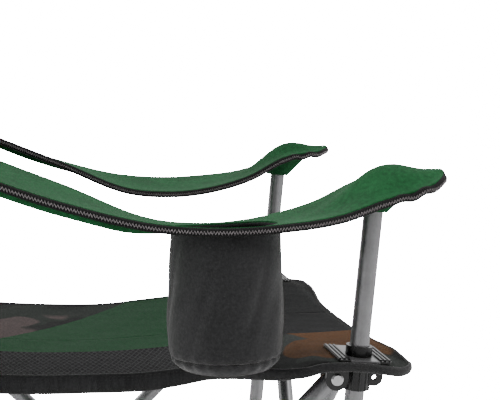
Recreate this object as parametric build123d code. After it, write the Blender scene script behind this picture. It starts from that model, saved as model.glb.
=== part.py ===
"""Folding camp chair: four posts, eight cross tubes in four scissor pairs, sliding seat hubs and fabric.

Millimetres.  +Z is up, the chair faces -Y, +X is the sitter's left.  The origin is on the floor, under the
middle of the chair.  Every corner has a frame of its own: z runs up the leaning post, x stays level.
"""
from build123d import *
from math import asin, atan2, cos, degrees, radians, sin, hypot
import os

# ---- tubes and scissors ----
TUBE_R = 8.25                 # coated steel tube, outside radius
TUBE_WALL = 1.0
NOSE_R = 8.6                  # rounded tube ends, about the end pins
PAIR_OFFSET = 8.6             # each tube of a crossing pair stands this far from the pair's mid plane
SIDE_LOWER = 230.0            # side tube, foot pin to crossing pin
SIDE_UPPER = 279.0            # side tube, crossing pin to hub pin
SIDE_ANGLE = 45.0             # side tubes above the horizontal, chair open
CROSS_HALF = 254.5            # front and back tubes, end pin to crossing pin
PIN_REACH = 22.0              # post axis to every end pin
FOOT_PIN_Z = 30.0             # side pins of the feet above the floor
# ---- posts ----
FRONT_POST_ABOVE = 166.0      # post top above the seat hub's pins
BACK_POST_ABOVE = 410.0
SLIDE_GAP = 0.5               # hub bore round the post
# ---- rivets ----
RIVET_R = 2.5
HEAD_R = 5.2
HEAD_H = 1.7
RUNNING_GAP = 0.08
OPEN_HOLE_R = 4.5             # loose hole of a pivot that is left open
LUG_GAP = 0.45                # lug plate to the side of a hinged tube
LUG_T = 2.6
LUG_R = 9.6                   # rounded lug plate about its pin
# ---- hub and foot mouldings ----
SLEEVE_WALL = 2.8
FLANGE_Z = 10.6               # underside of the hub's flange, above its pins
FLANGE_T = 2.6
FABRIC_T = 2.0
PLATE_T = 3.0
COLLAR_H = 7.0
SPARE_REACH = 14.0            # open hole in front of the post's axis
SPARE_HOLE_R = 2.2
SPARE_R = 7.2
FOOT_BASE_T = 5.0
SOCKET_TOP = 24.0
SOLE_R = 21.0
# ---- fabric ----
SEAT_SAG = 34.0
SEAT_EDGE_X = 146.0           # half width of the seat between its corners
TONGUE_BRIDGE = 56.0          # length along the chair over which a corner joins the sheet
ARM_HALF_W = 53.0
ARM_T = 3.5
ARM_LOW_Z = 506.0             # lowest point of the armrest's underside
ARM_LOW_BACK = 132.0          # that point, behind the front post's top
ARM_CURVE = 0.00112           # rise per square millimetre, from the low point to the back
ARM_TIP = 56.0                # armrest past the front post's top
ARM_TIP_DROP = 7.0
POCKET_H = 18.0               # pocket under the armrest, over the post's top
CUP_R = 47.0
CUP_WALL = 2.0
PLATE_SHIFT = 5.0              # corner plate set towards the seat, from the post
CUP_DEPTH = 106.0
CUP_BACK = 128.0              # cup centre behind the front post's top
BACKREST_LOW = 60.0           # backrest's lower edge above the seat pins, along the post
BACKREST_BOW = 20.0
SLEEVE_R = 11.0               # fabric sleeve round a post, outside

# ---- worked out ----
foot_span = 2 * SIDE_LOWER * cos(radians(SIDE_ANGLE))
hub_span = 2 * SIDE_UPPER * cos(radians(SIDE_ANGLE))
rise = (SIDE_LOWER + SIDE_UPPER) * sin(radians(SIDE_ANGLE))
lean = degrees(atan2((hub_span - foot_span) / 2, rise))
hub_up = hypot(rise, (hub_span - foot_span) / 2)
cross_angle = degrees(asin(hub_up / (2 * CROSS_HALF)))
post_x = CROSS_HALF * cos(radians(cross_angle)) + PIN_REACH
post_y = foot_span / 2 + PIN_REACH * cos(radians(lean))
corner_z = FOOT_PIN_Z - PIN_REACH * sin(radians(lean))
front_top_y = -post_y - (hub_up + FRONT_POST_ABOVE) * sin(radians(lean))
front_top_z = corner_z + (hub_up + FRONT_POST_ABOVE) * cos(radians(lean))
back_top_y = post_y + (hub_up + BACK_POST_ABOVE) * sin(radians(lean))
bow_y = back_top_y + BACKREST_BOW + 0.4
middle_y = (ARM_TIP - front_top_y - bow_y) / 2       # moves the chair so that its box is centred

CORNERS = {                   # name: (side of the chair, front +1 or back -1)
    "front_right": (-1, 1),
    "front_left": (1, 1),
    "back_right": (-1, -1),
    "back_left": (1, -1),
}


def corner(name, up=0.0):
    """Frame of one corner: z up the post, origin on the post's axis, 'up' above the foot's pins."""
    side, front = CORNERS[name]
    base = Location((side * post_x, middle_y - front * post_y, corner_z), (front * lean, 0, 0))
    return base * Pos(0, 0, up)


def point(name, up, x=0.0, y=0.0):
    """World position of a point given in a corner's frame."""
    return (corner(name, up) * Pos(x, y, 0)).position


def rod(radius, start, length, axis):
    """Round bar that starts at a point and runs along an axis."""
    return Plane(origin=start, z_dir=axis) * extrude(Circle(radius), length)


def write(name, shape):
    shape.label = name
    export_step(shape, f"parts/{name}.step")


# ---------------------------------------------------------------- tubes
def cross_tube(start, end, pin_axis, crossing, hole_low, hole_mid, hole_high):
    """Hollow tube between two end pins, with rounded noses and three pin holes."""
    along = Vector(*end) - Vector(*start)
    length = along.length
    place = Plane(origin=start, x_dir=along, z_dir=pin_axis)
    outline = Pos(length / 2, 0) * SlotCenterToCenter(length, 2 * NOSE_R)
    envelope = extrude(outline, 2 * TUBE_R, both=True)
    lay = Pos(-2 * NOSE_R, 0, 0) * Rot(0, 90, 0)
    bar = lay * extrude(Circle(TUBE_R), length + 4 * NOSE_R)
    hollow = lay * extrude(Circle(TUBE_R - TUBE_WALL), length + 4 * NOSE_R)
    tube = (bar & envelope) - hollow
    for station, radius in ((0, hole_low), (crossing, hole_mid), (length, hole_high)):
        tube -= Pos(station, 0, 0) * extrude(Circle(radius), 2 * TUBE_R, both=True)
    return place * tube


def post(name, above):
    """Round hollow post, from the foot's socket to its top."""
    bottom = -FLANGE_Z + 0.5
    ring = Circle(TUBE_R) - Circle(TUBE_R - TUBE_WALL)
    return corner(name, bottom) * extrude(ring, hub_up + above - bottom)


def post_cap(name, above):
    """Plug with a domed head in the post's open top."""
    plug = extrude(Circle(TUBE_R - TUBE_WALL - 0.05), 14)
    head = Pos(0, 0, 14) * extrude(Circle(TUBE_R), 2.5)
    head = fillet(head.edges().group_by(Axis.Z)[-1], 1.6)
    return corner(name, hub_up + above - 14) * (plug + head)


def rivet(start, axis, grip):
    """Rivet with two domed heads; start is the inner face of its first head."""
    shank = rod(RIVET_R, (0, 0, 0), grip, (0, 0, 1))
    head = extrude(Circle(HEAD_R), HEAD_H)
    head = chamfer(head.edges().group_by(Axis.Z)[-1], HEAD_H * 0.6, HEAD_H * 0.9)
    low = Rot(180, 0, 0) * head
    high = Pos(0, 0, grip) * head
    return Plane(origin=start, z_dir=axis) * (shank + low + high)


# ---------------------------------------------------------------- hub and foot
LUG_INNER = TUBE_R + LUG_GAP
LUG_OUTER = LUG_INNER + LUG_T


def lug_plate(face, reach, offset, pin_r, up):
    """One lug plate square to local x: round about its pin, and joined to the flange above or below it."""
    disc = Pos(0, reach) * Circle(LUG_R)
    web = Pos(0, reach) * Pos(up * (FLANGE_Z + FLANGE_T / 2) / 2, 0) * Rectangle(FLANGE_Z + FLANGE_T / 2, 2 * LUG_R)
    outline = disc + web - Pos(0, reach) * Circle(pin_r)
    flat = extrude(outline, LUG_T)
    return Pos(face + offset, 0, 0) * Rot(0, -90, 0) * flat


def fork(reach, offset, up):
    """Two lug plates either side of a tube that is hinged about local x."""
    outer = lug_plate(LUG_OUTER, reach, offset, RIVET_R + 0.02, up)
    inner = lug_plate(-LUG_INNER, reach, offset, RIVET_R + 0.02, up)
    return outer + inner


def flange(side, front, centre_r):
    """Flat web that carries the sleeve and both forks."""
    span = PAIR_OFFSET + LUG_OUTER
    long = PIN_REACH + LUG_R
    pad = Circle(centre_r)
    pad += Pos(0, front * long / 2) * Rectangle(2 * span, long)
    pad += Pos(side * -long / 2, 0) * Rectangle(long, 2 * span)
    return pad


def moulding(name, up, centre_r):
    """Flange with two forks, at right angles: one for the side tube, one for the front or back tube."""
    side, front = CORNERS[name]
    at_hub = up > 0
    side_offset = -front * PAIR_OFFSET if at_hub else front * PAIR_OFFSET
    cross_offset = side * PAIR_OFFSET * (-1 if at_hub else 1)
    side_fork = fork(front * PIN_REACH, side_offset, up)
    cross_fork = Rot(0, 0, -90) * fork(-side * PIN_REACH, -cross_offset, up)
    low = FLANGE_Z if up > 0 else -FLANGE_Z - FLANGE_T
    web = Pos(0, 0, low) * extrude(flange(side, front, centre_r), FLANGE_T)
    return web + side_fork + cross_fork


def pins(name, up, at_hub):
    """The two rivets of a hub or a foot, in the corner's frame."""
    side, front = CORNERS[name]
    side_offset = -front * PAIR_OFFSET if at_hub else front * PAIR_OFFSET
    cross_offset = side * PAIR_OFFSET * (-1 if at_hub else 1)
    first = rivet((side_offset - LUG_OUTER, front * PIN_REACH, 0), (1, 0, 0), 2 * LUG_OUTER)
    second = rivet((-side * PIN_REACH, cross_offset - LUG_OUTER, 0), (0, 1, 0), 2 * LUG_OUTER)
    return corner(name, up) * Compound(children=[first, second])


def hub(name):
    """Sliding seat hub: sleeve round the post, two forks, and a spare lug with an open hole."""
    side, front = CORNERS[name]
    outer = TUBE_R + SLIDE_GAP + SLEEVE_WALL
    body = moulding(name, 1, outer + 3)
    sleeve = Pos(0, 0, -11.5) * extrude(Circle(outer), 11.5 + FLANGE_Z + FLANGE_T)
    spare = Pos(0, -front * SPARE_REACH) * Circle(SPARE_R)
    spare += Pos(FLANGE_Z / 2, -front * SPARE_REACH) * Rectangle(FLANGE_Z + 1, 2 * SPARE_R)
    spare += Pos(0, -front * SPARE_REACH / 2) * Rectangle(2 * SPARE_R, SPARE_REACH)
    spare -= Pos(0, -front * SPARE_REACH) * Circle(SPARE_HOLE_R)
    body += Pos(side * 5 + 2, 0, 0) * Rot(0, -90, 0) * extrude(spare, 4)
    body += Pos(0, -front * 11, FLANGE_Z) * extrude(Rectangle(24, 22), FLANGE_T)
    for turn in range(0, 360, 30):
        body += Rot(0, 0, turn) * Pos(outer, 0, -11.5) * extrude(Circle(0.9), 11.5 + FLANGE_Z)
    body += sleeve
    body -= Pos(0, 0, -30) * extrude(Circle(TUBE_R + SLIDE_GAP), 60)
    for fork_keepout in tube_rooms(name, True):
        body -= fork_keepout
    return corner(name, hub_up) * body


def tube_rooms(name, at_hub):
    """Space that the two hinged tube ends sweep, taken out of a sleeve and its ribs."""
    side, front = CORNERS[name]
    side_offset = -front * PAIR_OFFSET if at_hub else front * PAIR_OFFSET
    cross_offset = side * PAIR_OFFSET * (-1 if at_hub else 1)
    room_r = NOSE_R + 1.75
    start = (side_offset - LUG_INNER, front * PIN_REACH, 0)
    yield rod(room_r, start, 2 * LUG_INNER, (1, 0, 0))
    start = (-side * PIN_REACH, cross_offset - LUG_INNER, 0)
    yield rod(room_r, start, 2 * LUG_INNER, (0, 1, 0))


def foot(name):
    """Foot moulding: socket for the post, two forks and a round sole that stands flat on the floor."""
    side, front = CORNERS[name]
    body = moulding(name, -1, TUBE_R + SLEEVE_WALL + 3)
    socket = Pos(0, 0, -FLANGE_Z) * extrude(Circle(TUBE_R + SLEEVE_WALL), FLANGE_Z + SOCKET_TOP)
    body += socket
    for tube_room in tube_rooms(name, False):
        body -= tube_room
    body -= Pos(0, 0, -FLANGE_Z) * extrude(Circle(TUBE_R + 0.02), 60)
    placed = corner(name) * body
    spot = corner(name, -FLANGE_Z).position
    block = Pos(spot.X, spot.Y, 0) * extrude(Circle(SOLE_R), spot.Z, taper=12)
    block -= corner(name, -FLANGE_Z - 0.5) * extrude(Circle(60), 60)
    return placed + block


def corner_plate(name):
    """Square ribbed plate on top of the seat fabric, with a raised collar round the post."""
    side, front = CORNERS[name]
    low = FLANGE_Z + FLANGE_T + FABRIC_T + 0.6
    bore = TUBE_R + SLIDE_GAP
    base = Pos(-side * PLATE_SHIFT, 0) * extrude(RectangleRounded(56, 46, 3), PLATE_T - 1.2)
    ribs = [base]
    for step in (14.0, 17.7, 21.4):
        for sign in (-1, 1):
            rib = extrude(Rectangle(51, 1.7), PLATE_T)
            ribs.append(Pos(-side * PLATE_SHIFT, sign * step, 0) * rib)
    ribs.append(extrude(Circle(bore + 2.6), PLATE_T + COLLAR_H))
    plate = ribs[0]
    for rib in ribs[1:]:
        plate += rib
    plate -= Pos(0, 0, -5) * extrude(Circle(bore), 40)
    return corner(name, hub_up + low) * plate


# ---------------------------------------------------------------- fabric
def seat_half(side):
    """One half of the seat: a sagging sheet along the chair, with a tongue round each post."""
    tongue_up = hub_up + FLANGE_Z + FLANGE_T + 0.3
    edge_z = point("front_right", tongue_up).Z + 1.5
    inner_x = 0.2 * side
    edge_x = side * SEAT_EDGE_X
    mid_x = (inner_x + edge_x) / 2
    curve = ThreePointArc((inner_x, edge_z - SEAT_SAG), (mid_x, edge_z - SEAT_SAG * 0.72), (edge_x, edge_z))
    upper = Pos(0, FABRIC_T) * curve
    face = make_face([curve, Line(curve @ 1, upper @ 1), upper, Line(upper @ 0, curve @ 0)])
    front_y = point("front_right", hub_up).Y
    back_y = point("back_right", hub_up).Y
    half = Plane.XZ.offset(-front_y) * extrude(face, front_y - back_y)
    suffix = "right" if side < 0 else "left"
    for end in ("front", "back"):
        name = f"{end}_{suffix}"
        sign = CORNERS[name][1]
        middle = point(name, hub_up)
        bridge = Box(post_x - SEAT_EDGE_X, TONGUE_BRIDGE, FABRIC_T, align=(Align.CENTER, Align.CENTER, Align.MIN))
        half += Pos(side * (SEAT_EDGE_X + post_x - 4) / 2, middle.Y + sign * TONGUE_BRIDGE / 2, edge_z) * bridge
        half -= corner(name, hub_up) * Box(66, 66, 2 * (FLANGE_Z + FLANGE_T + 0.3))
        tongue = Pos(side * -9, sign * 7) * RectangleRounded(70, 74, 12)
        half += corner(name, tongue_up) * extrude(tongue, FABRIC_T)
        half -= corner(name, hub_up) * extrude(Circle(TUBE_R + SLIDE_GAP + 0.5), 60)
        plate_room = Box(58, 48, 20, align=(Align.CENTER, Align.CENTER, Align.MIN))
        plate_room = Pos(-side * PLATE_SHIFT, 0, tongue_up + FABRIC_T + 0.1 - hub_up) * plate_room
        half -= corner(name, hub_up) * plate_room
    return half


def armrest(side):
    """Sagging armrest sheet with a round hole for the cup and a sleeve over the front post's top."""
    name = "front_right" if side < 0 else "front_left"
    low_y = middle_y + front_top_y + ARM_LOW_BACK
    tip_y = middle_y + front_top_y - ARM_TIP
    end_y = point("back_right", hub_up + 175).Y - SLEEVE_R - 1
    crest_y = middle_y + front_top_y - 8
    crest_z = front_top_z + 4.5

    def height(y):
        return ARM_LOW_Z + ARM_CURVE * (y - low_y) ** 2

    mid_y = (low_y + end_y) / 2
    rear = ThreePointArc((low_y, ARM_LOW_Z), (mid_y, height(mid_y)), (end_y, height(end_y)))
    mid_y = (low_y + crest_y) / 2
    mid_z = ARM_LOW_Z + 0.28 * (crest_z - ARM_LOW_Z)
    front = ThreePointArc((crest_y, crest_z), (mid_y, mid_z), (low_y, ARM_LOW_Z))
    nose = Line((tip_y, crest_z - ARM_TIP_DROP), (crest_y, crest_z))
    under = [nose, front, rear]
    over = [Pos(0, ARM_T) * edge for edge in under]
    ends = [Line(nose @ 0, over[0] @ 0), Line(rear @ 1, over[2] @ 1)]
    face = make_face(under + over + ends)
    slab = Plane.YZ * extrude(face, ARM_HALF_W + 2, both=True)
    slab = Pos(side * post_x, 0, 0) * slab
    outline = Pos(side * post_x, (tip_y + end_y) / 2) * RectangleRounded(2 * ARM_HALF_W, end_y - tip_y - 0.2, 26)
    slab &= Pos(0, 0, 400) * extrude(outline, 400)
    cup_y = middle_y + front_top_y + CUP_BACK
    if side < 0:
        slab -= Pos(side * post_x, cup_y, 400) * extrude(Circle(CUP_R - CUP_WALL), 400)
    top = hub_up + FRONT_POST_ABOVE
    pocket = corner(name, top - POCKET_H) * extrude(Circle(SLEEVE_R), POCKET_H + 5)
    slab += pocket
    slab -= corner(name, top - 60) * extrude(Circle(TUBE_R + 0.15), 60 + 2.9)
    return slab


def cup_holder():
    """Fabric cup: a closed-bottomed cylinder that hangs under the armrest's hole."""
    cup_y = middle_y + front_top_y + CUP_BACK
    bottom_z = ARM_LOW_Z - CUP_DEPTH
    cup = extrude(Circle(CUP_R), ARM_LOW_Z - 0.3 - bottom_z)
    cup = fillet(cup.edges().group_by(Axis.Z)[0], 7)
    room = extrude(Circle(CUP_R - CUP_WALL), CUP_DEPTH + 20)
    room = fillet(room.edges().group_by(Axis.Z)[0], 5)
    cup -= Pos(0, 0, CUP_WALL) * room
    return Pos(-post_x, cup_y, bottom_z) * cup


def backrest_half(side):
    """One half of the backrest: a bowed sheet up the back posts, with a sleeve over the post."""
    name = "back_right" if side < 0 else "back_left"
    outer = -side * (SLEEVE_R - 1.5)
    inner = -side * (post_x - 0.2)
    middle = (outer + inner) / 2
    curve = ThreePointArc((outer, 0), (middle, BACKREST_BOW * 0.72), (inner, BACKREST_BOW))
    upper = Pos(0, -FABRIC_T) * curve
    face = make_face([curve, Line(curve @ 1, upper @ 1), upper, Line(upper @ 0, curve @ 0)])
    tall = BACK_POST_ABOVE + 4 - BACKREST_LOW
    sheet = extrude(face, tall)
    sheet += Pos(0, 0, 120) * extrude(Circle(SLEEVE_R), tall - 120)
    sheet -= Pos(0, 0, -1) * extrude(Circle(TUBE_R + 0.3), tall + 1 - 0.9)
    return corner(name, hub_up + BACKREST_LOW) * sheet


# ---------------------------------------------------------------- assembly
def scissor_pins(side_name):
    """End pins of the two side tubes on one side: foot and hub points, in world axes."""
    front, back = f"front_{side_name}", f"back_{side_name}"
    a = (point(front, 0, PAIR_OFFSET, PIN_REACH), point(back, hub_up, PAIR_OFFSET, -PIN_REACH))
    b = (point(back, 0, -PAIR_OFFSET, -PIN_REACH), point(front, hub_up, -PAIR_OFFSET, PIN_REACH))
    return a, b


def cross_pins(end):
    """End pins of the two tubes in the front or back plane."""
    right, left = f"{end}_right", f"{end}_left"
    a = (point(right, 0, PIN_REACH, -PAIR_OFFSET), point(left, hub_up, -PIN_REACH, -PAIR_OFFSET))
    b = (point(left, 0, -PIN_REACH, PAIR_OFFSET), point(right, hub_up, PIN_REACH, PAIR_OFFSET))
    return a, b


def main():
    os.makedirs("parts", exist_ok=True)
    snug = RIVET_R + 0.02
    running = RIVET_R + RUNNING_GAP
    grip = 2 * (PAIR_OFFSET + TUBE_R) + 0.2

    for name, (side, front) in CORNERS.items():
        above = FRONT_POST_ABOVE if front > 0 else BACK_POST_ABOVE
        write(f"foot_{name}", foot(name))
        write(f"post_{name}", post(name, above))
        write(f"post_cap_{name}", post_cap(name, above))
        write(f"hub_{name}", hub(name))
        write(f"corner_plate_{name}", corner_plate(name))
        write(f"foot_rivets_{name}", pins(name, 0, False))
        write(f"hub_rivets_{name}", pins(name, hub_up, True))

    for side_name in ("right", "left"):
        (a_low, a_high), (b_low, b_high) = scissor_pins(side_name)
        low_hole = running if side_name == "right" else OPEN_HOLE_R
        write(f"side_tube_a_{side_name}",
              cross_tube(a_low, a_high, (1, 0, 0), SIDE_LOWER, running, snug, OPEN_HOLE_R))
        write(f"side_tube_b_{side_name}",
              cross_tube(b_low, b_high, (1, 0, 0), SIDE_LOWER, low_hole, running, OPEN_HOLE_R))
        share = SIDE_LOWER / (SIDE_LOWER + SIDE_UPPER)
        mid = a_low + (a_high - a_low) * share
        start = (mid.X - PAIR_OFFSET - grip / 2, mid.Y, mid.Z)
        write(f"side_rivet_{side_name}", rivet(start, (1, 0, 0), grip))

    for end, tilt in (("front", lean), ("back", -lean)):
        normal = Vector(0, cos(radians(tilt)), sin(radians(tilt)))
        (a_low, a_high), (b_low, b_high) = cross_pins(end)
        write(f"{end}_tube_a", cross_tube(a_low, a_high, normal, CROSS_HALF, running, snug, running))
        write(f"{end}_tube_b", cross_tube(b_low, b_high, normal, CROSS_HALF, running, running, running))
        mid = (a_low + a_high) / 2 + normal * (PAIR_OFFSET - grip / 2)
        write(f"{end}_rivet", rivet(mid, normal, grip))

    for side, side_name in ((-1, "right"), (1, "left")):
        write(f"seat_half_{side_name}", seat_half(side))
        write(f"backrest_half_{side_name}", backrest_half(side))
        write(f"armrest_{side_name}", armrest(side))
    write("cup_holder", cup_holder())


main()
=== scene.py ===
"""Folding camp chair: sewn armrests, cup, seat and backrest round a packed tube frame. Metres."""
import math

import bmesh
import bpy
import numpy as np
from bpy.props import FloatProperty, FloatVectorProperty, PointerProperty
from bpy.types import Operator, Panel, PropertyGroup
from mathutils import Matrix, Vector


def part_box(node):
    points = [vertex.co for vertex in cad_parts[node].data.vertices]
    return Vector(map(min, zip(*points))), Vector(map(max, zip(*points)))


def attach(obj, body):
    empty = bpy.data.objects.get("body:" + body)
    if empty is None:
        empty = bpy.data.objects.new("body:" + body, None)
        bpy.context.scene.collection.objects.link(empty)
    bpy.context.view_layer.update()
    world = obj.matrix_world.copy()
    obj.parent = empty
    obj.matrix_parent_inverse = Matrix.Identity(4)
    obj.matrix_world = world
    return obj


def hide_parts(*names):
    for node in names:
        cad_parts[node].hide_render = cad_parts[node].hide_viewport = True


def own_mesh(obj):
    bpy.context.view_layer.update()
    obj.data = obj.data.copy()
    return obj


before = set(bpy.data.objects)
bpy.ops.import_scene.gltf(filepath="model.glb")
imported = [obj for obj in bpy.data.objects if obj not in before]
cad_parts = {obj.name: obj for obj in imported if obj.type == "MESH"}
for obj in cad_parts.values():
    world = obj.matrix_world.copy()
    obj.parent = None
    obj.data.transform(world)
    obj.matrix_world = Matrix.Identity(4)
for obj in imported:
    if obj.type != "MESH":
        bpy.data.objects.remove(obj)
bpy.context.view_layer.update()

bl_info = {
    "name": "Folding Camp Chair",
    "version": (1, 0, 0),
    "blender": (4, 5, 0),
    "location": "3D View > Sidebar > Chair",
    "description": "Sewn pieces and finishes of a folding camp chair",
    "category": "Object",
}

MM = 0.001
SIDES = {"right": -1, "left": 1}


# ------------------------------------------------------------------ places taken from the frame
def middle(node):
    """Centre of a node's box."""
    low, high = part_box(node)
    return (np.array(low) + np.array(high)) / 2


POST_X = middle("post_front_left")[0]
CAP_FRONT = middle("post_cap_front_left")
CAP_BACK = middle("post_cap_back_left")
PLATE_FRONT = middle("corner_plate_front_left")
PLATE_BACK = middle("corner_plate_back_left")
LEAN = math.atan2(PLATE_FRONT[1] - CAP_FRONT[1], CAP_FRONT[2] - PLATE_FRONT[2])
ARM_LOW, ARM_HIGH = (np.array(corner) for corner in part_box("armrest_right"))
CUP_LOW, CUP_HIGH = (np.array(corner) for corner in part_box("cup_holder"))
CUP_MID = (CUP_LOW + CUP_HIGH) / 2
BACK_LOW, BACK_HIGH = (np.array(corner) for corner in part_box("backrest_half_right"))
TUBE_R = 8.25 * MM


# ------------------------------------------------------------------ settings
class ChairSettings(PropertyGroup):
    """Sizes and colours that a user would change."""

    green: FloatVectorProperty(
        name="Armrest green", description="Colour of the armrest cloth", subtype="COLOR",
        default=(0.012, 0.105, 0.032), min=0.0, max=1.0)
    black: FloatVectorProperty(
        name="Black cloth", description="Colour of the seat's plain cloth", subtype="COLOR",
        default=(0.005, 0.005, 0.0055), min=0.0, max=1.0)
    cup: FloatVectorProperty(
        name="Cup cloth", description="Colour of the cup holder's cloth", subtype="COLOR",
        default=(0.030, 0.030, 0.031), min=0.0, max=1.0)
    coat: FloatVectorProperty(
        name="Tube coat", description="Colour of the coated tubes", subtype="COLOR",
        default=(0.40, 0.40, 0.41), min=0.0, max=1.0)
    cloth: FloatProperty(
        name="Cloth thickness", description="Thickness of the sewn cloth", unit="LENGTH",
        default=1.6 * MM, min=0.5 * MM, max=4 * MM)
    seat_sag: FloatProperty(
        name="Seat sag", description="How far the seat's middle hangs below its side hems", unit="LENGTH",
        default=5 * MM, min=0.0, max=60 * MM)
    side_dip: FloatProperty(
        name="Side hem dip", description="How far a side hem dips between its two corners", unit="LENGTH",
        default=18 * MM, min=0.0, max=40 * MM)


def settings():
    return bpy.context.scene.chair


# ------------------------------------------------------------------ curves and surfaces
def through(x, stations, values):
    """Smooth curve through stations: a cubic with Catmull-Rom slopes between each two of them."""
    x = np.clip(np.asarray(x, float), stations[0], stations[-1])
    xs, ys = np.asarray(stations, float), np.asarray(values, float)
    slope = np.gradient(ys, xs)
    i = np.clip(np.searchsorted(xs, x, side="right") - 1, 0, len(xs) - 2)
    h = xs[i + 1] - xs[i]
    t = (x - xs[i]) / h
    return ((2 * t**3 - 3 * t**2 + 1) * ys[i] + (t**3 - 2 * t**2 + t) * h * slope[i]
            + (3 * t**2 - 2 * t**3) * ys[i + 1] + (t**3 - t**2) * h * slope[i + 1])


def ease(t):
    """Smooth step from 0 to 1."""
    t = np.clip(t, 0, 1)
    return t * t * (3 - 2 * t)


def ripple(a, b, seed, octaves=4):
    """Sum of sine waves in fixed random directions: a quiet, repeatable unevenness between -1 and 1."""
    rng = np.random.default_rng(seed)
    total = np.zeros(np.broadcast(a, b).shape)
    for octave in range(octaves):
        turn, phase = rng.uniform(0, 2 * math.pi, 2)
        wave = 2.0 ** octave
        total = total + np.sin(wave * (a * math.cos(turn) + b * math.sin(turn)) + phase) / wave
    return total / 2


def grid_mesh(name, points, uv, wrap=False):
    """Mesh of a grid of points (rows, columns, 3), quads between neighbours, UV in metres."""
    rows, cols = points.shape[:2]
    index = np.arange(rows * cols).reshape(rows, cols)
    nxt = np.roll(index, -1, axis=1) if wrap else index[:, 1:]
    here = index if wrap else index[:, :-1]
    quads = np.stack([here[:-1], nxt[:-1], nxt[1:], here[1:]], axis=-1).reshape(-1, 4)
    mesh = bpy.data.meshes.new(name)
    mesh.from_pydata(points.reshape(-1, 3).tolist(), [], quads.tolist())
    layer = mesh.uv_layers.new(name="cloth")
    loop_vert = np.empty(len(mesh.loops), dtype=np.int32)
    mesh.loops.foreach_get("vertex_index", loop_vert)
    layer.data.foreach_set("uv", uv.reshape(-1, 2)[loop_vert].astype(np.float32).ravel())
    mesh.polygons.foreach_set("use_smooth", np.ones(len(mesh.polygons), dtype=bool))
    obj = bpy.data.objects.new(name, mesh)
    bpy.context.scene.collection.objects.link(obj)
    return obj


def settle(obj):
    """Applies every modifier."""
    graph = bpy.context.evaluated_depsgraph_get()
    mesh = bpy.data.meshes.new_from_object(obj.evaluated_get(graph))
    obj.modifiers.clear()
    obj.data = mesh


def thicken(obj, thickness, offset=0.0):
    """Gives a surface its thickness: offset 0 is to both sides, 1 and -1 to one side only."""
    solid = obj.modifiers.new("thickness", "SOLIDIFY")
    solid.thickness = thickness
    solid.offset = offset
    settle(obj)


def bore(obj, point, axis, radius, reach):
    """Cuts a round hole through a closed piece."""
    bpy.ops.mesh.primitive_cylinder_add(vertices=72, radius=radius, depth=reach, location=point)
    cutter = bpy.context.object
    cutter.rotation_euler = (math.atan2(-axis[1], axis[2]), 0, 0)
    cut = obj.modifiers.new("hole", "BOOLEAN")
    cut.object = cutter
    cut.operation = "DIFFERENCE"
    cut.solver = "EXACT"
    bpy.context.view_layer.update()
    settle(obj)
    bpy.data.objects.remove(cutter)


def unit(vectors):
    """Each row at length 1."""
    return vectors / np.linalg.norm(vectors, axis=1, keepdims=True)


def together(*parts):
    """Arrays brought to one shape and stacked along a new last axis."""
    return np.stack(np.broadcast_arrays(*parts), axis=-1)


def frames_along(path, up):
    """Tangent, side and upward directions at each point of a path."""
    tangent = unit(np.gradient(path, axis=0))
    up = np.broadcast_to(np.asarray(up, float), path.shape)
    side = unit(np.cross(tangent, up))
    return tangent, side, np.cross(side, tangent)


def carried(name, path, section, up=(0, 0, 1)):
    """Closed section (points of side, up) carried along a path; each end is capped with one face."""
    _, side, rise = frames_along(path, up)
    section = np.asarray(section, float)
    points = (path[:, None, :] + side[:, None, :] * section[None, :, :1]
              + rise[:, None, :] * section[None, :, 1:])
    length = np.concatenate([[0], np.cumsum(np.linalg.norm(np.diff(path, axis=0), axis=1))])
    round_it = np.linspace(0, 1, len(section), endpoint=False) * 0.02
    uv = together(length[:, None], round_it[None, :])
    obj = grid_mesh(name, points, uv, wrap=True)
    close_rings(obj, [range(len(section))[::-1], last_ring(len(path), len(section))])
    return obj


def close_rings(obj, rings, smooth=False):
    """Closes each ring of vertices with one face, and turns all faces outwards."""
    bm = bmesh.new()
    bm.from_mesh(obj.data)
    bm.verts.ensure_lookup_table()
    for ring in rings:
        face = bm.faces.new([bm.verts[i] for i in ring])
        face.smooth = smooth
    bmesh.ops.recalc_face_normals(bm, faces=bm.faces)
    bm.to_mesh(obj.data)
    bm.free()


def last_ring(rows, cols):
    return range((rows - 1) * cols, rows * cols)


def oval(width, height, count=12):
    """Rounded section: x = width cos, y = height sin."""
    turn = np.linspace(0, 2 * math.pi, count, endpoint=False)
    return np.stack([width / 2 * np.cos(turn), height / 2 * np.sin(turn)], axis=1)


def evenly(path, step):
    """The same path with its points a fixed distance apart."""
    length = np.concatenate([[0], np.cumsum(np.linalg.norm(np.diff(path, axis=0), axis=1))])
    at = np.linspace(0, length[-1], max(int(length[-1] / step), 4))
    return np.stack([np.interp(at, length, path[:, k]) for k in range(3)], axis=1)


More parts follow.
